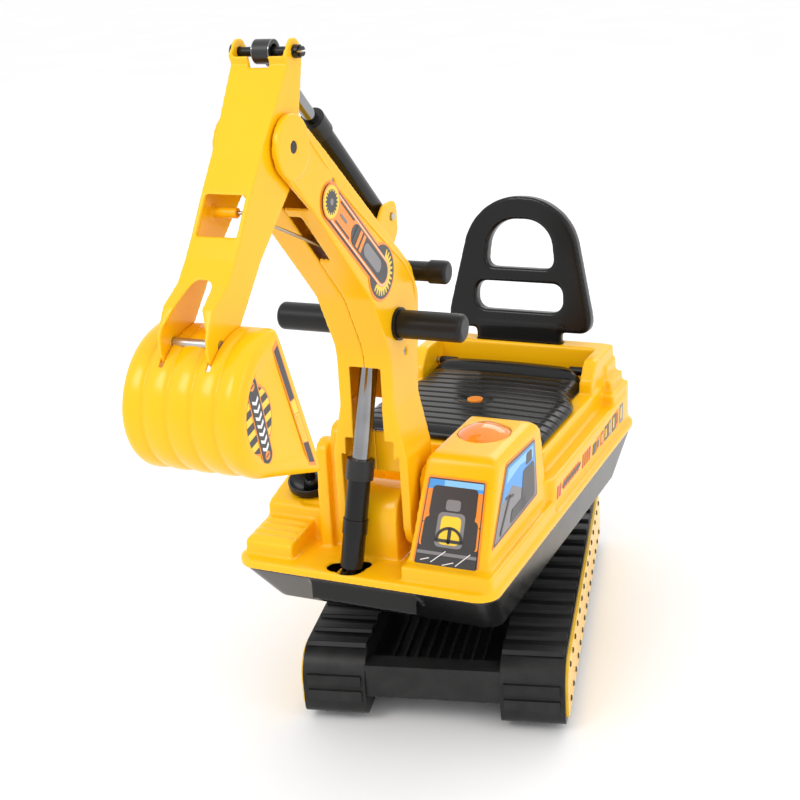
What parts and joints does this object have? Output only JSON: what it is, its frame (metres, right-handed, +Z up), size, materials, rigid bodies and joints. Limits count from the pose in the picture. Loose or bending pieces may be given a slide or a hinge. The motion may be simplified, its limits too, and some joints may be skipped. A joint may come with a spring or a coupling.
{
  "type": "ride-on toy excavator",
  "caption": "Ride-on toy excavator for a small child: tracked chassis on hidden wheels, swivelling body with seat and backrest, hinged boom, dipper and bucket worked by a hand lever.",
  "frame": {"origin": "on the swivel axis at floor level", "axes": "+Z up, -Y the way the chassis faces, +X to the rider's left; the body is stored turned 12.93 degrees clockwise on the chassis, seen from above"},
  "size_m": [0.3799, 0.7865, 0.719],
  "materials": {
    "battery_sleeve": "glossy sleeve",
    "black_plastic": "satin moulded",
    "board_green": "matt",
    "chassis_plastic": "satin moulded",
    "grip_plastic": "soft satin",
    "orange_dome": "translucent glossy",
    "silver_rod": "polished",
    "spring_steel": "plain",
    "steel_pin": "plain turned",
    "steel_screw": "zinc plated",
    "yellow_plastic": "glossy moulded"
  },
  "bodies": {
    "chassis": {"chassis_frame": "chassis_plastic", "track_pod_left": "black_plastic", "track_pod_right": "black_plastic", "side_plate_left": "yellow_plastic", "side_plate_right": "yellow_plastic", "front_axle": "steel_pin", "rear_axle": "steel_pin", "axle_caps": "black_plastic", "turntable_bearing": "chassis_plastic", "king_pin": "steel_pin", "king_pin_nut": "steel_screw", "king_pin_washer": "steel_pin", "chassis_screws": "steel_screw"},
    "wheel_front_left": {"wheel_front_left": "chassis_plastic"},
    "wheel_front_right": {"wheel_front_right": "chassis_plastic"},
    "wheel_rear_left": {"wheel_rear_left": "chassis_plastic"},
    "wheel_rear_right": {"wheel_rear_right": "chassis_plastic"},
    "upper_body": {"lower_hull": "black_plastic", "upper_deck": "yellow_plastic", "body_screws": "steel_screw", "storage_bin": "black_plastic", "seat_hinge_pins": "steel_pin", "backrest": "black_plastic", "button_spring": "spring_steel", "sound_board": "board_green", "speaker": "black_plastic", "battery_box": "black_plastic", "batteries": "battery_sleeve", "battery_cover": "black_plastic", "joystick_dish": "black_plastic", "boom_pivot_pin": "steel_pin", "lower_base_pin": "steel_pin"},
    "seat": {"seat_lid": "black_plastic", "seat_badge": "orange_dome"},
    "dome_button": {"dome_button": "orange_dome"},
    "joystick": {"joystick_stick": "black_plastic"},
    "boom": {"boom_shell_left": "yellow_plastic", "boom_shell_right": "yellow_plastic", "boom_screws": "steel_screw", "handlebar_tube": "steel_pin", "handlebar_grip_left": "grip_plastic", "handlebar_grip_right": "grip_plastic", "lower_rod_pin": "steel_pin", "upper_base_pin": "steel_pin", "dipper_pivot_pin": "black_plastic"},
    "lower_barrel": {"lower_cylinder_barrel": "black_plastic", "lower_cylinder_gland": "black_plastic"},
    "lower_rod": {"lower_cylinder_rod": "silver_rod"},
    "dipper": {"dipper_shell": "yellow_plastic", "dipper_top_pin": "black_plastic", "bucket_pin": "steel_pin"},
    "upper_barrel": {"upper_cylinder_barrel": "black_plastic", "upper_cylinder_gland": "black_plastic"},
    "upper_rod": {"upper_cylinder_rod": "silver_rod"},
    "lever": {"lever_arm": "black_plastic", "lever_grips": "grip_plastic"},
    "wire_link": {"wire_link": "steel_pin"},
    "bucket": {"bucket_shell": "yellow_plastic"}
  },
  "joints": [
    {"name": "wheel_front_left_spin", "type": "hinge", "parent": "chassis", "child": "wheel_front_left", "pos_m": [0.10225, -0.19, 0.024], "axis": [1, 0, 0], "continuous": true},
    {"name": "wheel_rear_left_spin", "type": "hinge", "parent": "chassis", "child": "wheel_rear_left", "pos_m": [0.10225, 0.19, 0.024], "axis": [1, 0, 0], "continuous": true},
    {"name": "wheel_front_right_spin", "type": "hinge", "parent": "chassis", "child": "wheel_front_right", "pos_m": [-0.10225, -0.19, 0.024], "axis": [1, 0, 0], "continuous": true},
    {"name": "wheel_rear_right_spin", "type": "hinge", "parent": "chassis", "child": "wheel_rear_right", "pos_m": [-0.10225, 0.19, 0.024], "axis": [1, 0, 0], "continuous": true},
    {"name": "swivel", "type": "hinge", "parent": "chassis", "child": "upper_body", "pos_m": [0, 0, 0.12], "axis": [0, 0, 1], "continuous": true},
    {"name": "seat_hinge", "type": "hinge", "parent": "upper_body", "child": "seat", "pos_m": [0.0405, 0.17641, 0.258], "axis": [0.9746, -0.2238, 0], "range_deg": [-65, 0]},
    {"name": "horn_press", "type": "slide", "parent": "upper_body", "child": "dome_button", "axis": [0, 0, -1], "range_m": [0, 0.003], "stiffness_N_per_m": 400, "springref_m": -0.001, "deforming": ["button_spring"]},
    {"name": "joystick_tilt", "type": "hinge", "parent": "upper_body", "child": "joystick", "pos_m": [-0.13363, -0.13964, 0.2365], "axis": [0.9746, -0.2238, 0], "range_deg": [-12, 12]},
    {"name": "boom_pivot", "type": "hinge", "parent": "upper_body", "child": "boom", "pos_m": [-0.04274, -0.18616, 0.229], "axis": [0.9746, -0.2238, 0], "range_deg": [-2, 18]},
    {"name": "lower_cylinder_base", "type": "hinge", "parent": "upper_body", "child": "lower_barrel", "pos_m": [-0.07251, -0.23986, 0.178], "axis": [0.9746, -0.2238, 0], "range_deg": [-3, 20]},
    {"name": "lower_cylinder_stroke", "type": "slide", "parent": "lower_barrel", "child": "lower_rod", "axis": [0.118, 0.183, 0.976], "range_m": [-0.021, 0.003]},
    {"name": "dipper_pivot", "type": "hinge", "parent": "boom", "child": "dipper", "pos_m": [-0.08279, -0.36062, 0.635], "axis": [0.9746, -0.2238, 0], "range_deg": [-2, 22]},
    {"name": "upper_cylinder_base", "type": "hinge", "parent": "boom", "child": "upper_barrel", "pos_m": [-0.03647, -0.15887, 0.528], "axis": [0.9746, -0.2238, 0], "range_deg": [-1, 5]},
    {"name": "upper_cylinder_stroke", "type": "slide", "parent": "upper_barrel", "child": "upper_rod", "axis": [-0.1608, -0.7004, 0.6954], "range_m": [-0.004, 0.026]},
    {"name": "lever_pivot", "type": "hinge", "parent": "boom", "child": "lever", "pos_m": [-0.04397, -0.19152, 0.432], "axis": [0.9746, -0.2238, 0], "range_deg": [-26, 4]},
    {"name": "wire_pivot", "type": "hinge", "parent": "dipper", "child": "wire_link", "pos_m": [-0.0942, -0.41032, 0.592], "axis": [0.9746, -0.2238, 0], "range_deg": [-19, 3]},
    {"name": "bucket_pivot", "type": "hinge", "parent": "dipper", "child": "bucket", "pos_m": [-0.11121, -0.4844, 0.507], "axis": [0.9746, -0.2238, 0], "range_deg": [-55, 0]}
  ],
  "couplings": [
    {"joint": "lower_cylinder_base", "follows": "boom_pivot", "ratio": 0.74355},
    {"joint": "lower_cylinder_stroke", "follows": "boom_pivot", "m_per_rad": -0.053135},
    {"joint": "upper_cylinder_base", "follows": "dipper_pivot", "ratio": 0.16185},
    {"joint": "upper_cylinder_stroke", "follows": "dipper_pivot", "m_per_rad": 0.062},
    {"joint": "lever_pivot", "follows": "dipper_pivot", "ratio": -1.117},
    {"joint": "wire_pivot", "follows": "dipper_pivot", "ratio": -0.79402}
  ]
}
